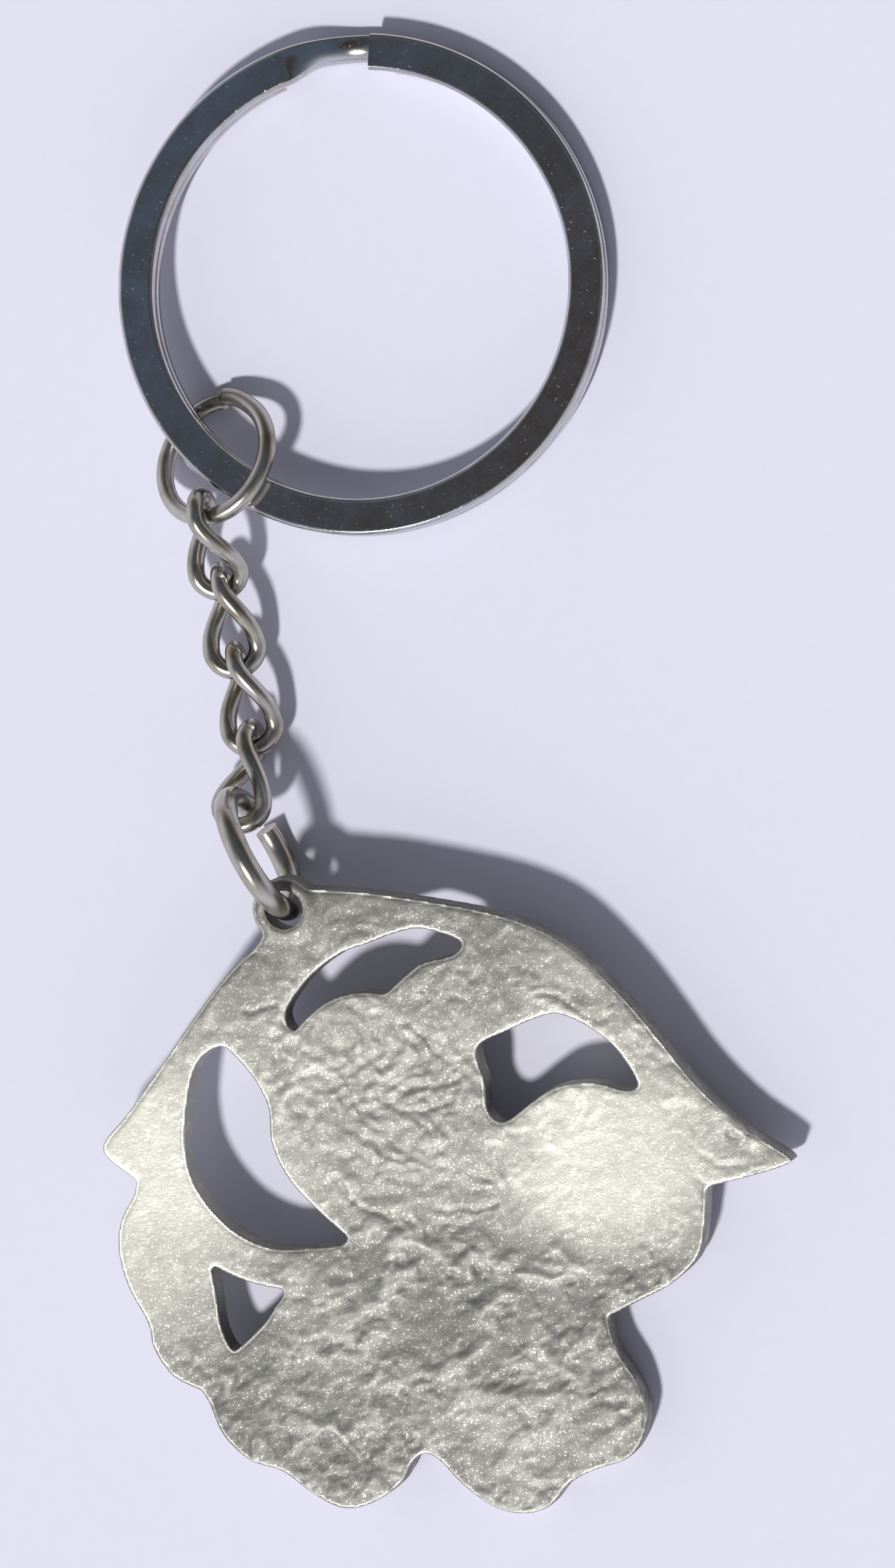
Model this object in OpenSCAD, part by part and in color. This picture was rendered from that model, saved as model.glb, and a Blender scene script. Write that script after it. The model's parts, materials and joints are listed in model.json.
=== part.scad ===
// Keychain lying on a table: a split ring, a short twisted chain between two jump rings, and a pierced
// cast fob seen from its back. Millimetres, +Z up, the table at Z = 0 and the split ring's centre above
// the origin. The chain and the fob lie towards -Y.

/* [Split ring] */
// Outside diameter of the split ring
ring_od = 30; // [26:0.5:36]
// Width of the flat wire, from the ring's inside to its outside
band_w = 2.2; // [1.6:0.1:2.8]
// Thickness of the flat wire in one turn
band_t = 0.7; // [0.5:0.05:1]
// Gap between the two turns
turn_gap = 0.45; // [0.42:0.01:0.7]
// Chamfer along the four edges of the flat wire
band_edge = 0.15; // [0.05:0.05:0.24]
// How far the inner edge draws back where the wire steps from one turn to the other
step_pinch = 0.5; // [0:0.1:0.8]

/* [Chain] */
// Wire diameter of the links
link_wire = 1.05; // [0.8:0.05:1.2]
// Outside length of a link
link_len = 7.15; // [6.8:0.05:9]
// Room left beside the open ring's wire, the thickest that a link's bend takes
link_side = 0.4; // [0.4:0.05:1]
// Slack left where two pieces hang on each other
link_play = 0.25; // [0.2:0.05:0.4]
// Lean of the second and third link about their own length
link_roll = -10; // [-15:1:0]
// Lean of the first and fourth link, which hang on the rings
end_roll = 3; // [-4:1:8]

/* [Jump rings] */
// Room inside the jump ring between the split ring's wire and the first link
jump_room = 0.65; // [0.5:0.05:1.5]
// Wire diameter of the jump ring on the split ring
jump_wire = 1.05; // [0.8:0.05:1.2]
// Seam left where its two ends meet
jump_seam = 0.12; // [0.05:0.01:0.4]
// How far that jump ring lies in from the middle of the split ring's wire
jump_set = 0.2; // [0:0.05:0.6]
// Clear space between that jump ring and the split ring
jump_clear = 0.25; // [0.2:0.05:0.5]
// Outside diameter of the open jump ring that carries the fob
lower_od = 8.9; // [8.4:0.1:11]
// Wire diameter of the open jump ring
lower_wire = 1.4; // [1.1:0.05:1.5]
// Opening left between the two ends of the open jump ring
lower_opening = 1.6; // [0.3:0.1:2]

/* [Fob] */
// Width of the fob, from tip to tip
fob_w = 42.2; // [38:0.2:50]
// Height of the fob, from the top of the drawing to the lowest petals
fob_h = 37.4; // [34:0.2:44]
// Thickness of the fob
fob_t = 2.1; // [1.6:0.1:2.4]
// Difference between the hole in the eyelet and the open ring's wire
eyelet_play = 0.9; // [0.8:0.05:1.2]
// Metal left around the hole in the eyelet
eyelet_rim = 0.8; // [0.7:0.1:1]

/* [Lie on the table] */
// Headings are turned from -Y towards +X: where the jump ring sits on the split ring
jump_heading = -41; // [-60:1:-20]
// Where the first link hangs on the jump ring, from straight outwards
jump_hang = 38; // [30:1:48]
// Heading of the first link
heading_1 = 9; // [5:1:18]
// Heading of the second link
heading_2 = 11; // [5:1:18]
// Heading of the third link
heading_3 = 13; // [5:1:20]
// Heading of the fourth link, which climbs to the open ring
heading_4 = -4; // [-12:1:2]
// Heading of the open ring, and of the fob's slope
heading_5 = 28; // [20:1:32]
// Where the last link hooks the open ring, below the level of its centre
hook_angle = 24; // [15:1:28]

/* [Hidden] */
$fn = 64;

// Directions. A lie is [heading, rise, roll]: a piece drawn along +X rolls about its length, rises and
// then turns to its heading.
function rolled(v, a) = [v.x, v.y * cos(a) - v.z * sin(a), v.y * sin(a) + v.z * cos(a)];
function raised(v, a) = [v.x * cos(a) - v.z * sin(a), v.y, v.x * sin(a) + v.z * cos(a)];
function headed(v, a) = [v.x * sin(a) + v.y * cos(a), v.y * sin(a) - v.x * cos(a), v.z];
function turned(v, lie) = headed(raised(rolled(v, lie[2]), lie[1]), lie[0]);
function unit(v) = v / norm(v);
function ease(t) = t <= 0 ? 0 : t >= 1 ? 1 : t * t * (3 - 2 * t);

module place(at, lie) {
    translate(at) rotate([lie[2], -lie[1], lie[0] - 90]) children();
}

// Split ring: two turns of flat wire, the upper one stepping down under its own end. Bearings are in
// degrees, clockwise from +Y, and the wire runs clockwise from its upper end.
ring_t = 2 * band_t + turn_gap;
ring_mid = (ring_od - band_w) / 2;
end_bearing = 2;
step_from_angle = 338;
step_to_angle = 356;
pinch_slope = 2;
pinch_end = 1.6;
station_angle = 5;
stations_per_turn = 360 / station_angle;
coil_stations = 139;

// Jump ring: its wire passes over the band on one side and under it on the other, which sets its lean,
// and its lowest point is on the table, which sets the tilt of the split ring
jump_cross = band_w / 2 + jump_set;
jump_r = jump_cross + jump_room + link_wire + link_play + jump_wire / 2;
jump_over = ring_t / 2 + jump_wire / 2 + jump_clear;
jump_lean = asin(jump_over / sqrt(jump_r * jump_r - jump_cross * jump_cross));
jump_z = jump_r * sin(jump_lean) + jump_wire / 2;
ring_tilt = asin((jump_z - ring_t / 2) / (ring_od / 2 + ring_mid - jump_set));
ring_lie = [jump_heading, ring_tilt, 0];
ring_at = [0, 0, ring_od / 2 * sin(ring_tilt)];
jump_lie = [jump_heading, ring_tilt, jump_lean];
jump_at = ring_at + turned([ring_mid - jump_set, 0, ring_t / 2], ring_lie);

// Links: a bend at each end, the first upright and the second flat, with a quarter twist between them
link_w = lower_wire + link_side + 2 * link_wire;
link_r = (link_w - link_wire) / 2;
link_run = link_len - link_wire;
chain_z = link_w / 2;
bend_steps = 9;
strand_steps = 9;
link_sides = 10;

// Open ring: it stands upright on the table and carries the eyelet at its far side
lower_r = (lower_od - lower_wire) / 2;
lower_z = lower_od / 2;
hook_z = lower_z - lower_r * sin(hook_angle);
hook_to_opening_angle = 18;
opening_angle = hook_angle + hook_to_opening_angle;

// How far apart the middles of two wires stay where one piece hangs on the next
hang_reach = (link_wire + jump_wire) / 2 + link_play;
link_reach = link_wire + link_play;
hook_reach = (link_wire + lower_wire) / 2 + link_play;

// How each link lies and where its first bend is: the first comes down from the jump ring, the fourth
// climbs to the open ring
hang_on = jump_at + jump_r * turned([cos(jump_hang), sin(jump_hang), 0], jump_lie);
rise_1 = asin((chain_z - hang_on.z) / (link_run - hang_reach));
rise_4 = asin((hook_z - chain_z) / (link_run - hook_reach - link_reach));
lies = [
    [heading_1, rise_1, end_roll],
    [heading_2, 0, link_roll],
    [heading_3, 0, link_roll],
    [heading_4, rise_4, end_roll]
];
function ahead(i) = turned([1, 0, 0], lies[i]);
function link_step(i) = link_run * ahead(i) - link_reach * turned([1, 0, 0], [lies[i][0], lies[i + 1][1], 0]);
at_1 = hang_on - hang_reach * ahead(0);
at_2 = at_1 + link_step(0);
at_3 = at_2 + link_step(1);
at_4 = at_3 + link_step(2);
places = [at_1, at_2, at_3, at_4];
hook_at = at_4 + (link_run - hook_reach) * ahead(3);

// Where the open ring stands, and where the middle of the eyelet's hole is on its far side
lower_lie = [heading_5, 0, 90];
lower_at = hook_at + lower_r * headed([cos(hook_angle), 0, sin(hook_angle)], heading_5);
hole_back = (lower_r - sqrt(lower_r * lower_r - fob_t * fob_t / 4)) / 2;
hole_at = lower_at + (lower_r - hole_back) * headed([1, 0, 0], heading_5);
eyelet_hole = lower_wire + eyelet_play;

// Smooth closed curve through points. A point with a third value is a sharp corner.
curve_steps = 4;
function doubled(points) = [for (p = points) for (k = [0:len(p) - 2]) [p.x, p.y]];
function between(a, b, c, d, t) =
    b + t * (c - a) / 2 + t * t * (a - 2.5 * b + 2 * c - d / 2) + t * t * t * (1.5 * (b - c) + (d - a) / 2);
function curve(points) =
    let (p = doubled(points), n = len(p))
    [
        for (i = [0:n - 1])
            if (norm(p[(i + 1) % n] - p[i]) > 0)
                for (k = [0:curve_steps - 1])
                    between(p[(i + n - 1) % n], p[i], p[(i + 1) % n], p[(i + 2) % n], k / curve_steps)
    ];

// Fob drawing, from the centre of the eyelet, in hundredths of fob_w across and of fob_h up
function fob_curve(points) = [for (p = curve(points)) [p.x * fob_w, p.y * fob_h] / 100];

fob_edge = fob_curve([
    [1.4, 3.5, 1], [10.7, 3.2], [21.7, 1.6], [31.5, -0.5], [39.7, -4.3], [47.7, -12], [53.7, -19.7],
    [58.9, -26.9], [65.4, -33.5], [71.5, -37.8], [72, -39.4], [66.8, -41.5], [60.3, -43.4, 1],
    [60, -48.7], [58.9, -54.5], [55.1, -58.8], [50.5, -61.7], [45.8, -64.4, 1], [47, -69.7], [50, -75],
    [51.2, -80.9], [48.8, -86.7], [43.5, -89.1], [39.7, -91.5], [36.9, -95.2], [33.2, -96.5],
    [29, -95.7], [24.5, -92.3], [21, -88.3], [18.9, -87.2], [17.1, -88.6], [15.2, -92.3], [11, -95.5],
    [6.8, -96.5], [2.6, -94.4], [-2.1, -90.7], [-6.8, -89.1], [-10.7, -85.1], [-12.6, -80.1],
    [-13.8, -77.9, 1], [-17.8, -75.8], [-20.6, -71.5], [-21.5, -67], [-24.1, -61.7], [-25.5, -56.1],
    [-25.2, -50.8], [-23.1, -46.3], [-22.7, -43.9, 1], [-26.9, -40.4], [-27.3, -37.8], [-23.8, -33.2],
    [-18.7, -25.5], [-12.9, -16.5], [-7.9, -9.6], [-4, -5.6], [-3, -2.9, 1]
]);
fob_windows = [
    fob_curve([
        [0.9, -19.4], [0, -16.2], [3.7, -10.6], [8.2, -6.9], [12.1, -5.3], [16.4, -3.5], [20.1, -2.9],
        [25.5, -4.8], [24.3, -6.9], [19.9, -8.2], [17.1, -10.6], [14.5, -13.3, 1], [10.7, -13],
        [6.3, -14.4], [2.6, -17.6]
    ]),
    fob_curve([
        [27.6, -21.8], [31.8, -19.1], [36, -17], [39.3, -16.2], [43.5, -18.1], [47.4, -21.5],
        [50.5, -26.9], [49.1, -28.2], [44.2, -26.9], [39, -27.7], [35.3, -30.3], [31.3, -33.5],
        [29, -31.6], [28.7, -27.1]
    ]),
    fob_curve([
        [-9.8, -22.1], [-13.1, -24.7], [-14.7, -30.6], [-15.2, -38.6], [-13.6, -45.2], [-8.9, -51.3],
        [-3.3, -54.3], [2.3, -54.3], [7.2, -53.7], [8.4, -52.7, 1], [3.7, -48.1], [-0.2, -43.4],
        [-2.6, -37.8], [-3, -31.9], [-4.9, -27.4], [-7.7, -23.7]
    ]),
    fob_curve([
        [-11.9, -57.4, 1], [-8.4, -59.3], [-4.7, -60.6], [-0.9, -61.2, 1], [-4.4, -66.8],
        [-8.9, -71.5, 1], [-10.5, -67.6], [-11.2, -61.7]
    ])
];

// The fob slopes from the open ring down to its lowest petals, which rest on the table
fob_reach = max([for (p = fob_edge) p.x * sin(heading_5) - p.y * cos(heading_5)]);
fob_tilt = asin(lower_z / norm([fob_reach, fob_t / 2])) - atan(fob_t / 2 / fob_reach);
fob_lie = [heading_5, -fob_tilt, 0];

// Closed faces of a tube, from rings of points listed one after another
function quad(a, b, c, d) = [[a, c, b], [a, d, c]];
function tube_faces(rings, sides, closed) = [
    for (i = [0:rings - (closed ? 1 : 2)])
        for (j = [0:sides - 1])
            let (a = i * sides, b = ((i + 1) % rings) * sides, k = (j + 1) % sides)
            each quad(a + j, a + k, b + k, b + j)
];

// Flat wire of the split ring at t degrees from its upper end
function step_part(t) = (t - step_from_angle) / (step_to_angle - step_from_angle);
function coil_drop(t) = (band_t + turn_gap) * ease(step_part(t));
function coil_pinch(t) = step_pinch * ease(pinch_slope * min(step_part(t), pinch_end - step_part(t)));
function coil_section(t) =
    let (
        lift = ring_t - band_t / 2 - coil_drop(t),
        inside = ring_od / 2 - band_w + coil_pinch(t),
        outside = ring_od / 2,
        half = band_t / 2,
        e = band_edge
    )
    [
        [inside + e, lift - half], [outside - e, lift - half], [outside, lift - half + e],
        [outside, lift + half - e], [outside - e, lift + half], [inside + e, lift + half],
        [inside, lift + half - e], [inside, lift - half + e]
    ];
coil_sides = len(coil_section(0));
coil_rings = [
    for (i = [0:coil_stations])
        let (t = i * station_angle, b = end_bearing + t)
        [for (s = coil_section(t)) [s.x * sin(b), s.x * cos(b), s.y]]
];

// Least gap between the turns, measured from each ring of points to the rings just below it
coil_gap = min([
    for (i = [0:coil_stations])
        for (j = [i + stations_per_turn - 2:i + stations_per_turn + 2])
            if (j <= coil_stations)
                for (p = coil_rings[i]) for (q = coil_rings[j]) norm(p - q)
]);
echo(split_ring_gap_between_turns = coil_gap);

// Centre line of a link, drawn along +X from its first bend, and the wire's rings around it
function link_twist(x) = 90 * (1 - ease((x - link_r / 2) / (link_run - link_r)));
function link_point(x, off) = [x, off * cos(link_twist(x)), off * sin(link_twist(x))];
function link_spine(p) = [min(max(p.x, link_r), link_run - link_r), 0, 0];
strand = link_run - 2 * link_r;
link_line = [
    for (i = [0:bend_steps - 1])
        let (a = 180 * i / bend_steps - 90)
        link_point(link_r - link_r * cos(a), link_r * sin(a)),
    for (i = [0:strand_steps - 1]) link_point(link_r + strand * i / strand_steps, link_r),
    for (i = [0:bend_steps - 1])
        let (a = 90 - 180 * i / bend_steps)
        link_point(link_run - link_r + link_r * cos(a), link_r * sin(a)),
    for (i = [0:strand_steps - 1]) link_point(link_run - link_r - strand * i / strand_steps, -link_r)
];
link_count = len(link_line);
link_rings = [
    for (i = [0:link_count - 1])
        let (
            here = link_line[i],
            along = unit(link_line[(i + 1) % link_count] - link_line[(i + link_count - 1) % link_count]),
            out = here - link_spine(here),
            side = unit(out - (out * along) * along),
            other = cross(along, side)
        )
        for (j = [0:link_sides - 1])
            let (a = 360 * j / link_sides)
            here + link_wire / 2 * (cos(a) * side + sin(a) * other)
];

// Flat spring-steel wire wound into two turns, with the step between them
module split_ring() {
    last = coil_stations * coil_sides;
    caps = [
        [for (j = [0:coil_sides - 1]) j],
        [for (j = [0:coil_sides - 1]) last + coil_sides - 1 - j]
    ];
    color("lightslategray")
        place(ring_at, ring_lie)
            rotate(90 - jump_heading)
                polyhedron(
                    [for (r = coil_rings) each r],
                    concat(tube_faces(coil_stations + 1, coil_sides, false), caps),
                    convexity = 6
                );
}

// Round wire bent into a ring, drawn about Z, with a gap that starts at the given angle
module wire_ring(r, wire, gap, gap_from) {
    gap_angle = gap / r * 180 / PI;
    rotate(gap_from + gap_angle)
        rotate_extrude(angle = 360 - gap_angle)
            translate([r, 0]) circle(d = wire);
}

// Closed jump ring around the split ring's band
module jump_ring() {
    seam_at = 222;
    color("silver")
        place(jump_at, jump_lie)
            wire_ring(jump_r, jump_wire, jump_seam, seam_at);
}

// One twisted link of round wire
module link(i) {
    color("silver")
        place(places[i], lies[i])
            polyhedron(link_rings, tube_faces(link_count, link_sides, true), convexity = 4);
}

module link_1() { link(0); }
module link_2() { link(1); }
module link_3() { link(2); }
module link_4() { link(3); }

// Heavier open ring, standing on the table, whose opening is just below the fourth link
module fob_ring() {
    color("darkgray")
        place(lower_at, lower_lie)
            wire_ring(lower_r, lower_wire, lower_opening, 180 + opening_angle);
}

// Cast plate with four pierced windows and an eyelet
module fob() {
    eyelet_r = eyelet_hole / 2 + eyelet_rim;
    through = 2 * fob_t;
    color("darkkhaki")
        place(hole_at, fob_lie)
            rotate(90 - heading_5)
                difference() {
                    union() {
                        linear_extrude(fob_t, center = true) polygon(fob_edge);
                        cylinder(h = fob_t, r = eyelet_r, center = true);
                    }
                    for (w = fob_windows)
                        linear_extrude(through, center = true) polygon(w);
                    cylinder(h = through, d = eyelet_hole, center = true);
                }
}

split_ring();
jump_ring();
link_1();
link_2();
link_3();
link_4();
fob_ring();
fob();
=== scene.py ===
import json
import math
import bmesh
import bpy
from mathutils import Matrix, Vector


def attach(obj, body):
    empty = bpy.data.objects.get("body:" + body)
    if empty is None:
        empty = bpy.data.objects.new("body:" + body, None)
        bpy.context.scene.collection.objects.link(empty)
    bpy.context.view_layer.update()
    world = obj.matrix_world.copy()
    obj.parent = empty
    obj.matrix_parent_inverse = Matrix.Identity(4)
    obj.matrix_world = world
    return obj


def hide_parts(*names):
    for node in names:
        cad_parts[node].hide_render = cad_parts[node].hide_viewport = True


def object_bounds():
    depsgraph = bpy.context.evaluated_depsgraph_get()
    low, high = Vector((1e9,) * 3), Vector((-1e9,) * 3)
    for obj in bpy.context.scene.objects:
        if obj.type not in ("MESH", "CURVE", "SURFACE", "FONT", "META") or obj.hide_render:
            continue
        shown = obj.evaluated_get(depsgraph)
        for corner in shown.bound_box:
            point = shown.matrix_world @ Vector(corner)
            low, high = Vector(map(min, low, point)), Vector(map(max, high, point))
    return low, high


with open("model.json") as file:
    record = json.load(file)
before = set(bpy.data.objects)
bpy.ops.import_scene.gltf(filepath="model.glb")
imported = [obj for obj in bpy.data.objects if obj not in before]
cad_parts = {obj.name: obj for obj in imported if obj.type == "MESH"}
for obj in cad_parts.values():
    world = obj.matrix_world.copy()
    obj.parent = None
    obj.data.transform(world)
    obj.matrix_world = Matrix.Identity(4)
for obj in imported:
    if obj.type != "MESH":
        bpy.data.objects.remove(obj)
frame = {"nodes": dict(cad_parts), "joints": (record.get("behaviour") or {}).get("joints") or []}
solid_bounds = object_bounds()

# Split ring: two turns of flat spring-steel wire with rolled round edges, wound close together. The upper
# turn narrows and steps down beside its own cut end. Nickel plated, polished, and marked by keys.

mm = 0.001
ring_od = 29.98 * mm
ring_thickness = 1.85 * mm
turn_seam = 0.05 * mm
turn_points = 180
wound_angle = 695
upper_end_bearing = 2
band_width = 2.2 * mm
band_thickness = (ring_thickness - turn_seam) / 2
band_edge = 0.28 * mm
band_edge_points = 5
band_face_cuts = 2
band_drop = band_thickness + turn_seam
step_start_angle = 338
step_end_angle = 356
step_pinch = 0.6 * mm
step_roll = 0.50 * mm
step_roll_power = 4.5
pinch_rise = 0.5
pinch_end = 1.6
level_face = 0.9995

black = (0, 0, 0, 1)
white = (1, 1, 1, 1)
ring_plate = (0.57, 0.58, 0.61, 1)
ring_tarnish = (0.45, 0.42, 0.39, 1)
ring_bright = (0.82, 0.82, 0.82, 1)
ring_roughness = 0.09
ring_haze = 0.08
scratch_depth = 0.45
scratch_shine = 0.22
scratch_roughness = 0.16
speck_shine = 0.35
speck_roughness = 0.25
mark_dent = -0.5
ring_bump = 0.10
ring_bump_depth = 0.03 * mm

# Patterns on the ring, in cells per metre, the levels that they show from and to, and the directions that
# its scratches run in.
tarnish_cells = 330
scratch_cells = 1300
scratch_levels = (0.61, 0.75)
scratch_angle = 40
scratch_stretch = (1, 0.07, 1)
cross_cells = 1000
cross_levels = (0.62, 0.76)
cross_angle = -35
cross_stretch = (1, 0.06, 1)
speck_cells = 5200
speck_levels = (0.69, 0.80)
ring_haze_cells = 900
ring_dent_cells = 700


def wire(tree, kind, feeds=None, **options):
    """Add a node, set its options, and feed its inputs with values or with other nodes' sockets."""
    made = tree.nodes.new(kind)
    for option, value in options.items():
        setattr(made, option, value)
    for socket, feed in (feeds or {}).items():
        if isinstance(feed, bpy.types.NodeSocket):
            tree.links.new(feed, made.inputs[socket])
        else:
            made.inputs[socket].default_value = feed
    return made


def reckon(tree, operation, *feeds):
    """The result of one arithmetic step on numbers or sockets."""
    return wire(tree, "ShaderNodeMath", dict(enumerate(feeds)), operation=operation).outputs[0]


def aim(tree, operation, *feeds, **named):
    """The outputs of one arithmetic step on vectors: a vector, and a value where the step gives one."""
    every = {**dict(enumerate(feeds)), **named}
    return wire(tree, "ShaderNodeVectorMath", every, operation=operation).outputs


def between(tree, value, low, high, start=0.0, end=1.0):
    """The start below one limit, the end above the other, and a smooth step between them."""
    feeds = {"Value": value, "From Min": low, "From Max": high, "To Min": start, "To Max": end}
    return wire(tree, "ShaderNodeMapRange", feeds, interpolation_type="SMOOTHSTEP").outputs["Result"]


def ramp(tree, fac, stops):
    """Colours blended along a factor, from (position, colour) stops."""
    made = wire(tree, "ShaderNodeValToRGB", {"Fac": fac})
    elements = made.color_ramp.elements
    while len(elements) < len(stops):
        elements.new(0.5)
    for element, (position, colour) in zip(elements, stops):
        element.position = position
        element.color = colour
    return made.outputs["Color"]


def picked(tree, pattern, low, high):
    """The peaks of a pattern: none below one level and all above the other."""
    return ramp(tree, pattern, [(low, black), (high, white)])


def noise(tree, vector, scale, detail=2.0, roughness=0.5, distortion=0.0):
    """A noise value around a half, for a pattern's vector."""
    feeds = {"Vector": vector, "Scale": scale, "Detail": detail, "Roughness": roughness}
    feeds["Distortion"] = distortion
    return wire(tree, "ShaderNodeTexNoise", feeds).outputs["Fac"]


def finish(name, **settings):
    """A new material: its tree, its shader with the given constant settings, and its object coordinates."""
    material = bpy.data.materials.new(name)
    material.use_nodes = True
    tree = material.node_tree
    shader = tree.nodes["Principled BSDF"]
    for socket, value in settings.items():
        shader.inputs[socket].default_value = value
    place = tree.nodes.new("ShaderNodeTexCoord").outputs["Object"]
    return material, tree, shader, place


def stretched(tree, place, angle, scale):
    """Object coordinates turned about Z and scaled, for a pattern that runs one way."""
    feeds = {"Vector": place, "Rotation": (0, 0, math.radians(angle)), "Scale": scale}
    return wire(tree, "ShaderNodeMapping", feeds, vector_type="TEXTURE").outputs["Vector"]


ring_nickel, tree, shader, place = finish("ring_nickel", Metallic=1.0)
stain = noise(tree, place, tarnish_cells, detail=5, roughness=0.65, distortion=0.5)
plate = ramp(tree, stain, [(0.38, ring_plate), (0.68, ring_tarnish)])
scratch_grain = noise(tree, stretched(tree, place, scratch_angle, scratch_stretch), scratch_cells, detail=2)
cross_grain = noise(tree, stretched(tree, place, cross_angle, cross_stretch), cross_cells, detail=2)
one_way = picked(tree, scratch_grain, *scratch_levels)
other_way = picked(tree, cross_grain, *cross_levels)
both_ways = reckon(tree, "MAXIMUM", one_way, other_way)
scratches = reckon(tree, "MULTIPLY", both_ways, scratch_depth)
specks = picked(tree, noise(tree, place, speck_cells, detail=1), *speck_levels)
scratch_share = reckon(tree, "MULTIPLY", scratches, scratch_shine)
bright_share = reckon(tree, "MULTIPLY_ADD", specks, speck_shine, scratch_share)
worn = wire(tree, "ShaderNodeMix", {"Factor": bright_share, 6: plate, 7: ring_bright}, data_type="RGBA")
tree.links.new(worn.outputs[2], shader.inputs["Base Color"])
clouded = noise(tree, place, ring_haze_cells, detail=3)
haze = reckon(tree, "MULTIPLY_ADD", clouded, ring_haze, ring_roughness)
scored = reckon(tree, "MULTIPLY_ADD", scratches, scratch_roughness, haze)
tree.links.new(reckon(tree, "MULTIPLY_ADD", specks, speck_roughness, scored), shader.inputs["Roughness"])
marks = reckon(tree, "MAXIMUM", scratches, specks)
dents = reckon(tree, "MULTIPLY_ADD", marks, mark_dent, noise(tree, place, ring_dent_cells, detail=2))
skin = wire(tree, "ShaderNodeBump", {"Strength": ring_bump, "Distance": ring_bump_depth, "Height": dents})
tree.links.new(skin.outputs["Normal"], shader.inputs["Normal"])


def joint(name):
    """Where a joint is and which way its axis points."""
    found = next(j for j in frame["joints"] if j["name"] == name)
    return Vector(found["pos_m"]), Vector(found["axis"])


def level(at, axis):
    """The place of a piece that was drawn flat about the origin and lies on a slope."""
    return Matrix.Translation(at) @ Vector((0, 0, 1)).rotation_difference(axis).to_matrix().to_4x4()


def shape_tree(name, sizes, body=False):
    """A new shape tree with a named number for each size, and a body to start from if it needs one."""
    tree = bpy.data.node_groups.new(name, "GeometryNodeTree")
    tree.interface.new_socket("Shape", in_out="OUTPUT", socket_type="NodeSocketGeometry")
    if body:
        tree.interface.new_socket("Body", in_out="INPUT", socket_type="NodeSocketGeometry")
    for size in sizes:
        tree.interface.new_socket(size, in_out="INPUT", socket_type="NodeSocketFloat")
    return tree, tree.nodes.new("NodeGroupInput").outputs


def noted(tree, shape, name, value):
    """The shape with a value kept at each of its points."""
    feeds = {"Geometry": shape, "Name": name, "Value": value}
    kept = wire(tree, "GeometryNodeStoreNamedAttribute", feeds, data_type="FLOAT", domain="POINT")
    return kept.outputs["Geometry"]


def moved(tree, shape, offset):
    """The shape with its points moved."""
    return wire(tree, "GeometryNodeSetPosition", {"Geometry": shape, "Offset": offset}).outputs["Geometry"]


def swept(tree, line, profile, material):
    """End a shape tree: sweep the profile along the line, close its ends and give it its material."""
    feeds = {"Curve": line, "Profile Curve": profile, "Fill Caps": True}
    body = wire(tree, "GeometryNodeCurveToMesh", feeds).outputs["Mesh"]
    closed(tree, body, material)


def closed(tree, body, material, bent=True):
    """The last nodes of every shape tree, with smooth shading on the faces that are bent."""
    plain = wire(tree, "GeometryNodeSetShadeSmooth", {"Geometry": body, "Shade Smooth": False}).outputs[0]
    smooth = wire(tree, "GeometryNodeSetShadeSmooth", {"Geometry": plain, "Selection": bent}).outputs[0]
    whole = wire(tree, "GeometryNodeRealizeInstances", {"Geometry": smooth}).outputs[0]
    coated = wire(tree, "GeometryNodeSetMaterial", {"Geometry": whole, "Material": material}).outputs[0]
    wire(tree, "NodeGroupOutput", {"Shape": coated})


def made_by(tree, name, sizes, place, start=None):
    """Run a shape tree with these sizes, keep the result as a plain mesh, and put the mesh in its place."""
    maker = start or bpy.data.objects.new(name + "_maker", bpy.data.meshes.new(name))
    bpy.context.collection.objects.link(maker)
    modifier = maker.modifiers.new("shape", "NODES")
    modifier.node_group = tree
    for item in tree.interface.items_tree:
        if item.in_out == "INPUT" and item.name in sizes:
            modifier[item.identifier] = sizes[item.name]
    mesh = bpy.data.meshes.new_from_object(maker.evaluated_get(bpy.context.evaluated_depsgraph_get()))
    bpy.data.objects.remove(maker)
    mesh.transform(place)
    piece = bpy.data.objects.new(name, mesh)
    bpy.context.collection.objects.link(piece)
    return piece


def fit(piece, node):
    """The piece stands for a solid and moves with its body."""
    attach(piece, node)
    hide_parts(node)


ring_sizes = {
    "Radius": (ring_od - band_width) / 2,
    "Turns": wound_angle / 360,
    "Band width": band_width,
    "Band thickness": band_thickness,
    "Band edge": band_edge,
    "Drop": band_drop,
    "Step start": step_start_angle / wound_angle,
    "Step end": step_end_angle / wound_angle,
    "Pinch": step_pinch,
    "Roll": step_roll,
}
coil, size = shape_tree("split_ring_coil", ring_sizes)
turns = wire(
    coil,
    "GeometryNodeCurveSpiral",
    {
        "Resolution": turn_points,
        "Rotations": size["Turns"],
        "Start Radius": size["Radius"],
        "End Radius": size["Radius"],
        "Height": 0.0,
        "Reverse": False,
    },
)
along = coil.nodes.new("GeometryNodeSplineParameter").outputs["Factor"]
marked = noted(coil, turns.outputs["Curve"], "along", along)
stepped = between(coil, along, size["Step start"], size["Step end"], size["Drop"], 0.0)
upper_middle = reckon(coil, "MULTIPLY_ADD", size["Band thickness"], 0.5, stepped)
lift = wire(coil, "ShaderNodeCombineXYZ", {"Z": upper_middle}).outputs[0]
upright = wire(coil, "GeometryNodeSetCurveNormal", {"Curve": moved(coil, marked, lift)}, mode="Z_UP")
band = wire(
    coil,
    "GeometryNodeCurvePrimitiveQuadrilateral",
    {"Width": size["Band width"], "Height": size["Band thickness"]},
    mode="RECTANGLE",
)
rounded = wire(
    coil,
    "GeometryNodeFilletCurve",
    {"Curve": band.outputs["Curve"], "Radius": size["Band edge"], "Count": band_edge_points},
    mode="POLY",
)
section = wire(
    coil, "GeometryNodeSubdivideCurve", {"Curve": rounded.outputs["Curve"], "Cuts": band_face_cuts}
)
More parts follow.
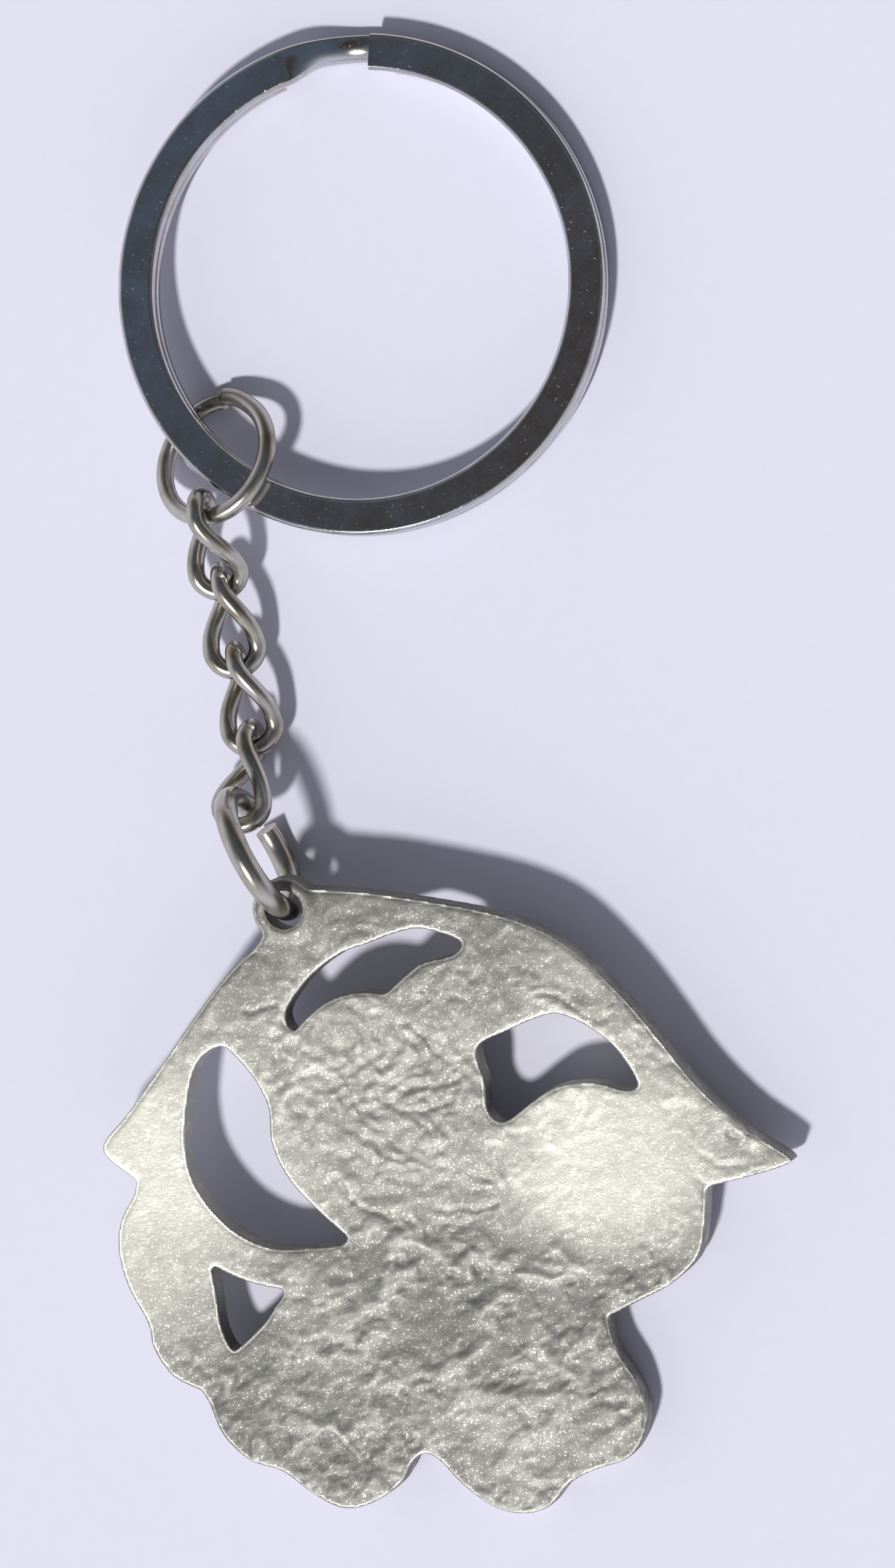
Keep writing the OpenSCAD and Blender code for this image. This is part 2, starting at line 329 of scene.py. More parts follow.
wound = wire(
    coil,
    "GeometryNodeCurveToMesh",
    {"Curve": upright.outputs["Curve"], "Profile Curve": section.outputs["Curve"], "Fill Caps": True},
)
position = coil.nodes.new("GeometryNodeInputPosition").outputs["Position"]
flat = aim(coil, "MULTIPLY", position, (1, 1, 0))[0]
radius = aim(coil, "LENGTH", flat)["Value"]
outwards = aim(coil, "NORMALIZE", flat)[0]
half_band = reckon(coil, "MULTIPLY", size["Band width"], 0.5)
inner = wire(
    coil,
    "ShaderNodeMapRange",
    {
        "Value": radius,
        "From Min": reckon(coil, "SUBTRACT", size["Radius"], half_band),
        "From Max": reckon(coil, "ADD", size["Radius"], half_band),
        "To Min": 1.0,
        "To Max": 0.0,
    },
).outputs["Result"]
here = wire(coil, "GeometryNodeInputNamedAttribute", {"Name": "along"}, data_type="FLOAT")
into_step = wire(
    coil,
    "ShaderNodeMapRange",
    {"Value": here.outputs["Attribute"], "From Min": size["Step start"], "From Max": size["Step end"]},
    clamp=False,
).outputs["Result"]
nearer = reckon(coil, "MINIMUM", into_step, reckon(coil, "SUBTRACT", pinch_end, into_step))
drawn = between(coil, nearer, 0.0, pinch_rise)
pull = reckon(coil, "MULTIPLY", reckon(coil, "MULTIPLY", inner, drawn), size["Pinch"])
pulled = aim(coil, "SCALE", outwards, Scale=pull)[0]
height = wire(coil, "ShaderNodeSeparateXYZ", {"Vector": position}).outputs["Z"]
rolled_in = reckon(coil, "MULTIPLY", reckon(coil, "POWER", inner, step_roll_power), drawn)
roll = reckon(coil, "MULTIPLY", rolled_in, size["Roll"])
rolled = reckon(coil, "MAXIMUM", reckon(coil, "SUBTRACT", height, roll), 0.0)
sunk = wire(coil, "ShaderNodeCombineXYZ", {"Z": reckon(coil, "SUBTRACT", rolled, height)}).outputs[0]
pinched = moved(coil, wound.outputs["Mesh"], aim(coil, "ADD", pulled, sunk)[0])
normal = coil.nodes.new("GeometryNodeInputNormal").outputs["Normal"]
facing = reckon(coil, "ABSOLUTE", wire(coil, "ShaderNodeSeparateXYZ", {"Vector": normal}).outputs["Z"])
closed(coil, pinched, ring_nickel, reckon(coil, "LESS_THAN", facing, level_face))

ring_at, ring_axis = joint("jump_ring_travel")
from_upper_end = Matrix.Rotation(math.radians(90 - upper_end_bearing), 4, "Z")
split_ring = made_by(coil, "split_ring_coil", ring_sizes, level(ring_at, ring_axis) @ from_upper_end)
fit(split_ring, "split_ring")

# Jump ring: round steel wire bent into a small ring and squeezed shut around the split ring, so that only a
# hairline seam shows, with one end standing out a little. Bright nickel plate, browned in places.

jump_radius = 3.775 * mm
jump_wire = 1.05 * mm
jump_seam = 0.04 * mm
jump_seam_angle = 222
jump_overbend = 0.22 * mm
overbend_start = 0.90
ring_points = 128
ring_wire_sides = 28

chain_warm = (0.44, 0.415, 0.36, 1)
chain_cool = (0.52, 0.505, 0.475, 1)
chain_brown = (0.30, 0.255, 0.20, 1)
chain_roughness = 0.18
chain_haze = 0.12
chain_bump = 0.15
chain_bump_depth = 0.03 * mm
chain_stain_cells = 420
chain_haze_cells = 1800
chain_pit_cells = 2600

chain_nickel, tree, shader, place = finish("chain_nickel", Metallic=1.0)
stain = noise(tree, place, chain_stain_cells, detail=3, roughness=0.6, distortion=0.3)
plate = ramp(tree, stain, [(0.30, chain_brown), (0.45, chain_warm), (0.70, chain_cool)])
tree.links.new(plate, shader.inputs["Base Color"])
clouded = noise(tree, place, chain_haze_cells, detail=3)
haze = reckon(tree, "MULTIPLY_ADD", clouded, chain_haze, chain_roughness)
tree.links.new(haze, shader.inputs["Roughness"])
pits = noise(tree, place, chain_pit_cells, detail=3, roughness=0.6)
skin = wire(tree, "ShaderNodeBump", {"Strength": chain_bump, "Distance": chain_bump_depth, "Height": pits})
tree.links.new(skin.outputs["Normal"], shader.inputs["Normal"])


def wire_section(tree, thickness, sides):
    """The round section of a wire."""
    feeds = {"Resolution": sides, "Radius": reckon(tree, "MULTIPLY", thickness, 0.5)}
    return wire(tree, "GeometryNodeCurvePrimitiveCircle", feeds, mode="RADIUS").outputs["Curve"]


bent_ring, size = shape_tree("bent_wire_ring", ["Radius", "Wire", "Start", "Sweep", "Overbend"])
arc = wire(
    bent_ring,
    "GeometryNodeCurveArc",
    {
        "Resolution": ring_points,
        "Radius": size["Radius"],
        "Start Angle": size["Start"],
        "Sweep Angle": size["Sweep"],
    },
    mode="RADIUS",
)
along = bent_ring.nodes.new("GeometryNodeSplineParameter").outputs["Factor"]
last_bend = between(bent_ring, along, overbend_start, 1.0)
spread = reckon(bent_ring, "MULTIPLY", last_bend, size["Overbend"])
position = bent_ring.nodes.new("GeometryNodeInputPosition").outputs["Position"]
outwards = aim(bent_ring, "NORMALIZE", position)[0]
line = moved(bent_ring, arc.outputs["Curve"], aim(bent_ring, "SCALE", outwards, Scale=spread)[0])
swept(bent_ring, line, wire_section(bent_ring, size["Wire"], ring_wire_sides), chain_nickel)


def ring_gap(radius, wire_thickness, gap, gap_angle, overbend=0.0):
    """Sizes of a bent ring whose gap starts at an angle, and whose last bend may stand out."""
    turn = gap / radius
    start = math.radians(gap_angle) + turn
    sweep = 2 * math.pi - turn
    return {"Radius": radius, "Wire": wire_thickness, "Start": start, "Sweep": sweep, "Overbend": overbend}


def standing(at, along, up):
    """The place of a piece that was drawn along +X with its face towards +Z."""
    across = up.cross(along)
    turn = Matrix((along.normalized(), across.normalized(), up.normalized())).transposed()
    return Matrix.Translation(at) @ turn.to_4x4()


jump_at, jump_axis = joint("link_1_travel")
outwards = (jump_at - ring_at) - (jump_at - ring_at).dot(ring_axis) * ring_axis
jump_sizes = ring_gap(jump_radius, jump_wire, jump_seam, jump_seam_angle, jump_overbend)
jump_ring = made_by(bent_ring, "jump_ring_wire", jump_sizes, standing(jump_at, outwards, jump_axis))
fit(jump_ring, "jump_ring")

# Chain: four links of the same round wire, each closed and then given a quarter twist, so that the first bend
# stands on edge and the second lies flat. They hang loosely in each other.

link_wire = 1.05 * mm
link_length = 7.15 * mm
link_width = 3.9 * mm
link_play = 0.25 * mm
link_run = link_length - link_wire
link_reach = link_wire + link_play
full_bend = 0.4999
link_bend_points = 24
link_points = 150
link_wire_sides = 24
chain_sizes = {"Run": link_run, "Width": link_width - link_wire, "Wire": link_wire}
# Heading, rise and roll of each link, in degrees.
link_lies = {
    "link_1": (9, -20.03, 3),
    "link_2": (11, 0, -10),
    "link_3": (13, 0, -10),
    "link_4": (-4, 17.05, 3),
}

twisted, size = shape_tree("twisted_link", chain_sizes)
oblong = wire(
    twisted,
    "GeometryNodeCurvePrimitiveQuadrilateral",
    {"Width": size["Run"], "Height": size["Width"]},
    mode="RECTANGLE",
)
bend_radius = reckon(twisted, "MULTIPLY", size["Width"], full_bend)
looped = wire(
    twisted,
    "GeometryNodeFilletCurve",
    {"Curve": oblong.outputs["Curve"], "Radius": bend_radius, "Count": link_bend_points},
    mode="POLY",
)
even = wire(
    twisted,
    "GeometryNodeResampleCurve",
    {"Curve": looped.outputs["Curve"], "Count": link_points},
    mode="COUNT",
)
position = twisted.nodes.new("GeometryNodeInputPosition").outputs["Position"]
point = wire(twisted, "ShaderNodeSeparateXYZ", {"Vector": position}).outputs
reach = reckon(twisted, "MULTIPLY_ADD", size["Run"], 0.5, point["X"])
twist_start = reckon(twisted, "MULTIPLY", bend_radius, 0.5)
twist_end = reckon(twisted, "MULTIPLY_ADD", bend_radius, -0.5, size["Run"])
quarter = between(twisted, reach, twist_start, twist_end, math.pi / 2, 0.0)
turned = wire(
    twisted,
    "ShaderNodeCombineXYZ",
    {
        "X": reach,
        "Y": reckon(twisted, "MULTIPLY", point["Y"], reckon(twisted, "COSINE", quarter)),
        "Z": reckon(twisted, "MULTIPLY", point["Y"], reckon(twisted, "SINE", quarter)),
    },
).outputs[0]
line = wire(twisted, "GeometryNodeSetPosition", {"Geometry": even.outputs["Curve"], "Position": turned})
link_section = wire_section(twisted, size["Wire"], link_wire_sides)
swept(twisted, line.outputs["Geometry"], link_section, chain_nickel)


def lying(at, heading, rise, roll):
    """The place of a link drawn along +X: rolled, raised, then turned from -Y towards +X by its heading."""
    turn = Matrix.Rotation(math.radians(heading - 90), 4, "Z")
    turn = turn @ Matrix.Rotation(math.radians(-rise), 4, "Y") @ Matrix.Rotation(math.radians(roll), 4, "X")
    return Matrix.Translation(at) @ turn


first_heading, first_rise, first_roll = link_lies["link_1"]
ahead = lying(Vector(), first_heading, first_rise, first_roll) @ Vector((1, 0, 0))
ahead_level = lying(Vector(), first_heading, 0, 0) @ Vector((1, 0, 0))
link_places = {name: joint(name + "_turn")[0] for name in ("link_2", "link_3", "link_4")}
link_places["link_1"] = link_places["link_2"] - link_run * ahead + link_reach * ahead_level
for name, lie in link_lies.items():
    link = made_by(twisted, name + "_wire", chain_sizes, lying(link_places[name], *lie))
    fit(link, name)

# Fob ring: a heavier jump ring of round wire, standing on edge, with its ends left apart beside the fourth
# link. It is bright nickel like the chain and carries the fob's eyelet.

fob_ring_radius = 3.745 * mm
fob_ring_wire = 1.4 * mm
fob_ring_opening = 1.6 * mm
fob_ring_opening_angle = 222

fob_ring_at, fob_ring_axis = joint("fob_ring_swing")
fob_ring_sizes = ring_gap(fob_ring_radius, fob_ring_wire, fob_ring_opening, fob_ring_opening_angle)
forwards = Vector((0, 0, 1)).cross(fob_ring_axis)
fob_ring = made_by(bent_ring, "fob_ring_wire", fob_ring_sizes, standing(fob_ring_at, forwards, fob_ring_axis))
fit(fob_ring, "fob_ring")

# Fob: a pierced plate of pewter, cast in one piece with its eyelet and seen from its back, whose skin kept
# the lumps, creases and dimples of the mould. Its edges are tumbled round, and it is worn smoother where it
# is held. Its colour carries painted light too: painted sheen where it is held, painted highlight mixed with
# edge wear on its rims, painted highlights on its crests, glints and streaks, and painted shade in its
# hollows and low down.

plate_thickness = 2.1 * mm
casting_voxel = 0.160 * mm
weld_distance = 0.001 * mm
edge_rounds = 2
eyelet_rim_start = 1.5 * mm
eyelet_rim_end = 2.2 * mm
skin_sizes = {
    "Inset": 0.14 * mm,
    "Swell": 0.12 * mm,
    "Crumple": 0.175 * mm,
    "Wrinkle": 0.160 * mm,
    "Dimple": 0.150 * mm,
    "Crease": 0.06 * mm,
    "Ridge": 0.14 * mm,
}
tone_depth = 0.20 * mm
crease_width = 0.20 * mm
ridge_width = 0.42 * mm
ridge_lean = 0.24 * mm
line_points = 20
line_stray = (1.2 * mm, 1.2 * mm, 0)

# Places on the skin, in millimetres from the centre of the eyelet. A crease or ridge has a start, a middle
# and an end. A place worn by handling, which is also painted brighter as sheen, has a centre, a reach and a
# share, and fades between two multiples of its reach.
creases = [
    ((-2.5, -6.3), (-1.7, -6.2), (-0.7, -5.6)),
    ((7.2, -6.5), (8.5, -7.4), (10.3, -9.6)),
    ((6.6, -10.6), (8.5, -10.7), (10.5, -10.0)),
    ((5.7, -11.3), (7.7, -12.6), (10.0, -11.4)),
    ((8.3, -17.3), (10.3, -18.4), (12.8, -17.3)),
    ((12.9, -14.6), (12.9, -15.6), (13.5, -16.1)),
    ((14.6, -13.1), (14.9, -14.0), (15.0, -14.7)),
    ((17.3, -13.1), (17.9, -12.6), (18.3, -11.7)),
    ((21.9, -11.6), (22.2, -12.7), (21.9, -13.6)),
    ((23.4, -12.3), (22.9, -13.6), (22.8, -15.0)),
    ((24.6, -13.7), (25.1, -14.6), (26.4, -15.0)),
    ((22.2, -20.0), (22.6, -21.0), (22.2, -21.8)),
    ((15.3, -4.9), (17.0, -4.8), (18.2, -6.1)),
    ((3.2, -16.6), (4.6, -18.2), (6.4, -18.6)),
]
ridges = [
    ((0.8, -30.8), (2.8, -30.9), (4.0, -32.5)),
    ((3.0, -24.9), (4.4, -23.6), (6.3, -23.0)),
    ((9.4, -27.4), (10.7, -26.7), (11.9, -25.5)),
    ((6.2, -19.7), (7.5, -19.1), (8.6, -19.9)),
    ((10.2, -29.1), (12.2, -28.4), (14.0, -29.1)),
    ((12.5, -33.2), (13.6, -32.6), (14.2, -31.3)),
    ((15.4, -31.3), (16.3, -30.4), (16.4, -29.1)),
    ((18.4, -31.8), (20.0, -31.2), (21.1, -29.6)),
    ((14.2, -21.6), (16.0, -21.9), (17.6, -20.9)),
]
worn_and_sheen_places = [
    ((19.5, -14.8), 6.2, 1.15),
    ((-9.5, -18.0), 9.5, 1.42),
]
wear_and_sheen_outside = 1.4
wear_and_sheen_inside = 0.4
skin_level = plate_thickness / mm / 2
dimple_centre = (6.0, -11.5, skin_level)
dimple_outside = 6.2
dimple_inside = 3.6
fold_zone = (-16.0, -22.0)
painted_shade_zone = (-17.0, -22.0)
eyelet_zone = (-9.0, -3.0)

# Patterns of the skin, in cells per millimetre, with the turns and stretches that give them a direction.
swell_cells = 0.08
crumple_cells = 0.60
crumple_lean = 0.6
fold_cells = 0.95
fold_angle = -32
fold_stretch = (0.40, 1.0, 1.0)
fold_crest = 0.35
upper_fold_share = 0.25
drift_cells = 0.22
drift_reach = (5.0, 5.0, 0.0)
dimple_row_angle = 50
dimple_pattern = {"Scale": 1.15, "Smoothness": 0.25, "Randomness": 0.6}
dimple_crest = 0.40
stray_cells = 0.9
patch_cells = 0.30
patch_levels = (0.36, 0.60)
calm_patch_share = 0.45
dimple_calm = -0.6
eyelet_calm = -0.35
handled_calm = -0.70

# How bright the skin's colour is made in each place: darker near the eyelet, painted shade low down, painted
# sheen where it is held, and edge wear with painted highlight on its rims; and which faces count as its rims
# and its upper side.
polish_all_over = 0.46
# Darker near the eyelet.
darker_near_eyelet = -0.21
painted_shade_low_down = -0.30
painted_sheen_where_handled = 0.345
edge_wear_and_highlight = 0.9
polish_brightest = 0.90
rim_from_face = (0.97, 0.85)
rim_from_wall = (0.25, 0.50)
upper_side = (0.30, 0.80)
wall_relief = 0.15

pewter_pale = (0.530, 0.520, 0.468, 1)
pewter_grey = (0.235, 0.233, 0.215, 1)
pewter_dark = (0.120, 0.120, 0.116, 1)
pewter_worn_and_sheen = (0.88, 0.87, 0.82, 1)
half_bright = (0.50, 0.50, 0.50, 1)
pewter_roughness = 0.53
pewter_haze = 0.12
glint_smoothness = -0.12
cloud_share = 0.34
painted_depth_shade = 0.10
painted_crest_highlight = 0.24
painted_glint_share = 0.32
painted_streak_share = 0.22
tone_share = 0.60
coarse_grit = 2.0
grit_bump = 0.07
grit_bump_polished = 0.12
grit_depth = 0.05 * mm

# Patterns on the pewter, in cells per metre, the levels that they show from and to, and the direction that
# its painted streaks of highlight run in.
cloud_cells = 260
crest_levels = (0.55, 0.70)
stroke_cells = 460
stroke_width = 0.05
stroke_angle = 38
stroke_stretch = (1, 0.45, 1)
stroke_break_cells = 400
stroke_break_levels = (0.46, 0.58)
facet_cells = 7400
facet_levels = (0.58, 0.72)
pewter_haze_cells = 1500
grit_cells = 2600

pewter, tree, shader, place = finish("cast_pewter", Metallic=1.0)
hollow = wire(tree, "ShaderNodeAttribute", attribute_name="hollow", attribute_type="GEOMETRY").outputs["Fac"]
wear_and_light = wire(tree, "ShaderNodeAttribute", attribute_name="wear_and_light", attribute_type="GEOMETRY").outputs["Fac"]
clouds = noise(tree, place, cloud_cells, detail=3, roughness=0.6)
cloud_tone = reckon(tree, "MULTIPLY_ADD", clouds, cloud_share, -cloud_share / 2)
# Painted shade and highlight by height: darker in the hollows and lighter on the high points, with a painted
# highlight on the crests, added to random clouds of tone.
clouds_and_painted_relief_light = reckon(tree, "MULTIPLY_ADD", reckon(tree, "SUBTRACT", hollow, 0.5), painted_depth_shade, cloud_tone)
clouds_and_painted_relief_light = reckon(tree, "MULTIPLY_ADD", picked(tree, hollow, *crest_levels), painted_crest_highlight, clouds_and_painted_relief_light)
# Painted streaks of highlight: thin broken lines lightened in colour, all running one way, like lit ridges.
stroke_place = stretched(tree, place, stroke_angle, stroke_stretch)
stroke_noise = noise(tree, stroke_place, stroke_cells, detail=2, distortion=0.3)
stroke_near = reckon(tree, "ABSOLUTE", reckon(tree, "SUBTRACT", stroke_noise, 0.5))
stroke = ramp(tree, stroke_near, [(0.0, white), (stroke_width, black)])
broken = picked(tree, noise(tree, place, stroke_break_cells, detail=2), *stroke_break_levels)
strokes = reckon(tree, "MULTIPLY", stroke, broken)
facets = noise(tree, place, facet_cells, detail=1)
# Painted glints: small random dots lightened in colour, fewer where the skin is brighter, and also made
# smoother.
sparkle = ramp(tree, wear_and_light, [(polish_all_over, white), (polish_brightest, half_bright)])
glints = reckon(tree, "MULTIPLY", picked(tree, facets, *facet_levels), sparkle)
painted_streak_tone = reckon(tree, "MULTIPLY", strokes, painted_streak_share)
painted_glints_and_streaks = reckon(tree, "MULTIPLY_ADD", glints, painted_glint_share, painted_streak_tone)
tone = reckon(tree, "ADD", painted_glints_and_streaks, reckon(tree, "ADD", wear_and_light, clouds_and_painted_relief_light))
tone_stops = [(0.0, pewter_dark), (0.21, pewter_grey), (0.60, pewter_pale), (1.0, pewter_worn_and_sheen)]
colour = ramp(tree, reckon(tree, "MULTIPLY", tone, tone_share), tone_stops)
tree.links.new(colour, shader.inputs["Base Color"])
clouded = noise(tree, place, pewter_haze_cells, detail=3)
haze = reckon(tree, "MULTIPLY_ADD", clouded, pewter_haze, pewter_roughness)
tree.links.new(reckon(tree, "MULTIPLY_ADD", glints, glint_smoothness, haze), shader.inputs["Roughness"])
grit = reckon(tree, "MULTIPLY_ADD", noise(tree, place, grit_cells, detail=2), coarse_grit, facets)
grit_share = reckon(tree, "MULTIPLY_ADD", wear_and_light, grit_bump_polished, grit_bump)
skin = wire(tree, "ShaderNodeBump", {"Strength": grit_share, "Distance": grit_depth, "Height": grit})
tree.links.new(skin.outputs["Normal"], shader.inputs["Normal"])

cast_skin, size = shape_tree("cast_skin", skin_sizes, body=True)
position = cast_skin.nodes.new("GeometryNodeInputPosition").outputs["Position"]
from_hole = aim(cast_skin, "MULTIPLY", position, (1, 1, 0))[0]
hole_away = aim(cast_skin, "LENGTH", from_hole)["Value"]
free_edge = wire(
    cast_skin,
    "ShaderNodeMapRange",
    {"Value": hole_away, "From Min": eyelet_rim_start, "From Max": eyelet_rim_end},
).outputs["Result"]
tumbled = wire(
    cast_skin,
    "GeometryNodeBlurAttribute",
    {"Value": position, "Iterations": edge_rounds, "Weight": free_edge},
    data_type="FLOAT_VECTOR",
)
body = wire(
    cast_skin, "GeometryNodeSetPosition", {"Geometry": size["Body"], "Position": tumbled.outputs["Value"]}
).outputs["Geometry"]
spot = aim(cast_skin, "SCALE", position, Scale=1 / mm)[0]
spot_y = wire(cast_skin, "ShaderNodeSeparateXYZ", {"Vector": spot}).outputs["Y"]


def around_zero(value, height):
    """A noise value as a height on either side of the skin."""
    return reckon(cast_skin, "MULTIPLY", reckon(cast_skin, "MULTIPLY_ADD", value, 2.0, -1.0), height)


def calmed(value, share, part):
    """The value, changed by a share of itself where the part is one."""
    return reckon(cast_skin, "MULTIPLY", value, reckon(cast_skin, "MULTIPLY_ADD", part, share, 1.0))


def turned_about(vector, angle):
    """A pattern's vector turned about the upright."""
    feeds = {"Vector": vector, "Axis": (0, 0, 1), "Angle": math.radians(angle)}
    return wire(cast_skin, "ShaderNodeVectorRotate", feeds, rotation_type="AXIS_ANGLE").outputs["Vector"]


def crumpled(vector):
    """The noise of crumpled skin."""
    return noise(cast_skin, vector, crumple_cells, detail=3, roughness=0.62, distortion=0.6)


def wander(cells):
    """A vector that changes slowly over the skin."""
    return wire(cast_skin, "ShaderNodeTexNoise", {"Vector": spot, "Scale": cells}).outputs["Color"]


swell = around_zero(noise(cast_skin, spot, swell_cells, detail=1), size["Swell"])
lean = wire(cast_skin, "ShaderNodeCombineXYZ", {"Y": around_zero(crumpled(spot), crumple_lean)}).outputs[0]
leaning = aim(cast_skin, "ADD", spot, lean)[0]
crumple = around_zero(crumpled(leaning), size["Crumple"])
drawn_out = aim(cast_skin, "MULTIPLY", turned_about(leaning, fold_angle), fold_stretch)[0]
folds = around_zero(noise(cast_skin, drawn_out, fold_cells, detail=3, roughness=0.55, distortion=0.8), 1.0)
sharp_folds = reckon(cast_skin, "SUBTRACT", fold_crest, reckon(cast_skin, "ABSOLUTE", folds))
lower_half = between(cast_skin, spot_y, *fold_zone)
fold_share = reckon(cast_skin, "MULTIPLY_ADD", lower_half, 1.0 - upper_fold_share, upper_fold_share)
fold_height = reckon(cast_skin, "MULTIPLY", sharp_folds, size["Wrinkle"])
wrinkles = reckon(cast_skin, "MULTIPLY", fold_height, fold_share)
drifted = aim(cast_skin, "MULTIPLY_ADD", wander(drift_cells), drift_reach, spot)[0]
cell_feeds = {"Vector": turned_about(drifted, dimple_row_angle), **dimple_pattern}
cells = wire(cast_skin, "ShaderNodeTexVoronoi", cell_feeds, feature="SMOOTH_F1")
from_middle = aim(cast_skin, "DISTANCE", spot, dimple_centre)["Value"]
dimpled = between(cast_skin, from_middle, dimple_outside, dimple_inside)
cell_height = reckon(cast_skin, "SUBTRACT", dimple_crest, cells.outputs["Distance"])
dimples = reckon(cast_skin, "MULTIPLY", reckon(cast_skin, "MULTIPLY", cell_height, size["Dimple"]), dimpled)


def mark_line(lines, width, shift=0.0):
    """How near the skin is to any of these lines, in line widths, seen from a little further along Y."""
    joined = cast_skin.nodes.new("GeometryNodeJoinGeometry")
    for line in lines:
        ends = [(x * mm, y * mm, plate_thickness / 2) for x, y in line]
        feeds = dict(zip(("Start", "Middle", "End"), ends), Resolution=line_points)
        drawn = wire(cast_skin, "GeometryNodeCurveQuadraticBezier", feeds).outputs["Curve"]
        cast_skin.links.new(drawn, joined.inputs["Geometry"])
    edges = wire(cast_skin, "GeometryNodeCurveToMesh", {"Curve": joined.outputs["Geometry"]}).outputs["Mesh"]
    strayed = aim(cast_skin, "SUBTRACT", wander(stray_cells), (0.5, 0.5, 0.5))[0]
    wavy = aim(cast_skin, "MULTIPLY_ADD", strayed, line_stray, position)[0]
    further = wire(cast_skin, "ShaderNodeCombineXYZ", {"Y": shift}).outputs[0]
    seen = aim(cast_skin, "ADD", wavy, further)[0]
    near = wire(cast_skin, "GeometryNodeProximity", {0: edges, 2: seen}, target_element="EDGES")
    return reckon(cast_skin, "DIVIDE", near.outputs["Distance"], width)


def bell(nearness):
    """A smooth bell around a line, from its distance in widths."""
    squared = reckon(cast_skin, "POWER", nearness, 2.0)
    return reckon(cast_skin, "EXPONENT", reckon(cast_skin, "MULTIPLY", squared, -1.0))


crease_near = mark_line(creases, crease_width)
crease_lip = reckon(cast_skin, "SUBTRACT", reckon(cast_skin, "POWER", crease_near, 2.0), 1.0)
crease_form = reckon(cast_skin, "MULTIPLY", crease_lip, bell(crease_near))
grooves = reckon(cast_skin, "MULTIPLY", crease_form, size["Crease"])
ridge_shift = reckon(cast_skin, "MULTIPLY", bell(mark_line(ridges, ridge_width)), ridge_lean)
ridge_form = bell(mark_line(ridges, ridge_width, ridge_shift))
raised = reckon(cast_skin, "MULTIPLY", ridge_form, size["Ridge"])

relief = reckon(cast_skin, "ADD", crumple, wrinkles)
patch_noise = noise(cast_skin, spot, patch_cells, detail=2, distortion=0.6)
patches = between(cast_skin, patch_noise, *patch_levels)
relief = reckon(cast_skin, "MULTIPLY", relief, reckon(cast_skin, "ADD", patches, calm_patch_share))
relief = calmed(relief, dimple_calm, dimpled)
near_eyelet = between(cast_skin, spot_y, *eyelet_zone)
relief = calmed(relief, eyelet_calm, near_eyelet)
for layer in (dimples, grooves, raised):
    relief = reckon(cast_skin, "ADD", relief, layer)
# Places worn by handling: smoother relief there, and brighter colour there as painted sheen.
worn_and_sheen_share = 0.0
for (x, y), reach, share in worn_and_sheen_places:
    away = aim(cast_skin, "DISTANCE", spot, (x, y, skin_level))["Value"]
    touched = between(cast_skin, away, wear_and_sheen_outside * reach, wear_and_sheen_inside * reach)
    worn_and_sheen_share = reckon(cast_skin, "MULTIPLY_ADD", touched, share, worn_and_sheen_share)
worn_down = reckon(cast_skin, "MULTIPLY_ADD", worn_and_sheen_share, handled_calm, 1.0)
height = reckon(cast_skin, "MULTIPLY_ADD", relief, worn_down, swell)
# The height is stored for the painted shade in the hollows and the painted highlight on the crests.
shade = wire(
    cast_skin, "ShaderNodeMapRange", {"Value": height, "From Min": -tone_depth, "From Max": tone_depth}
).outputs["Result"]
marked = noted(cast_skin, body, "hollow", shade)
normal = cast_skin.nodes.new("GeometryNodeInputNormal").outputs["Normal"]
upwards = wire(cast_skin, "ShaderNodeSeparateXYZ", {"Vector": normal}).outputs["Z"]
facing = reckon(cast_skin, "ABSOLUTE", upwards)
# Rims: the rounded edges and walls, made brighter in colour, partly as edge wear and partly as painted
# highlight.
off_face = between(cast_skin, facing, *rim_from_face)
rim = reckon(cast_skin, "MULTIPLY", off_face, between(cast_skin, facing, *rim_from_wall))
# The stored tone: a base level, darker near the eyelet, painted shade low down, painted sheen where handled,
# and edge wear with painted highlight on the rims.
wear_and_painted_light = polish_all_over
for part, share in (
    (near_eyelet, darker_near_eyelet),
    # Painted shade: darker low down.
    (between(cast_skin, spot_y, *painted_shade_zone), painted_shade_low_down),
    (worn_and_sheen_share, painted_sheen_where_handled),
    (rim, edge_wear_and_highlight),
):
    wear_and_painted_light = reckon(cast_skin, "MULTIPLY_ADD", part, share, wear_and_painted_light)
marked = noted(cast_skin, marked, "wear_and_light", wear_and_painted_light)
proud = reckon(cast_skin, "MINIMUM", reckon(cast_skin, "SUBTRACT", height, size["Inset"]), 0.0)
on_upper_side = between(cast_skin, upwards, *upper_side)
on_face = reckon(cast_skin, "MULTIPLY_ADD", on_upper_side, 1.0 - wall_relief, wall_relief)
proud = reckon(cast_skin, "MULTIPLY", reckon(cast_skin, "MULTIPLY", proud, free_edge), on_face)
skinned = moved(cast_skin, marked, aim(cast_skin, "SCALE", normal, Scale=proud)[0])
closed(cast_skin, skinned, pewter)

eyelet_at, fob_axis = joint("fob_turn")
fob_place = level(eyelet_at, fob_axis)
fob_plate = frame["nodes"]["fob"].data.copy()
fob_plate.transform(fob_place.inverted())
fob_plate.materials.clear()
loose = bmesh.new()
loose.from_mesh(fob_plate)
bmesh.ops.remove_doubles(loose, verts=loose.verts, dist=weld_distance)
loose.to_mesh(fob_plate)
loose.free()
casting = bpy.data.objects.new("fob_plate", fob_plate)
remesh = casting.modifiers.new("casting", "REMESH")
remesh.mode = "VOXEL"
remesh.voxel_size = casting_voxel
fob = made_by(cast_skin, "fob_casting", skin_sizes, fob_place, start=casting)
fit(fob, "fob")

# Table: a smooth sheet of pale, faintly blue paper. The keychain lies on it, and it isn't part of the object.
# It reaches far beyond the picture, so that no edge of it shows.

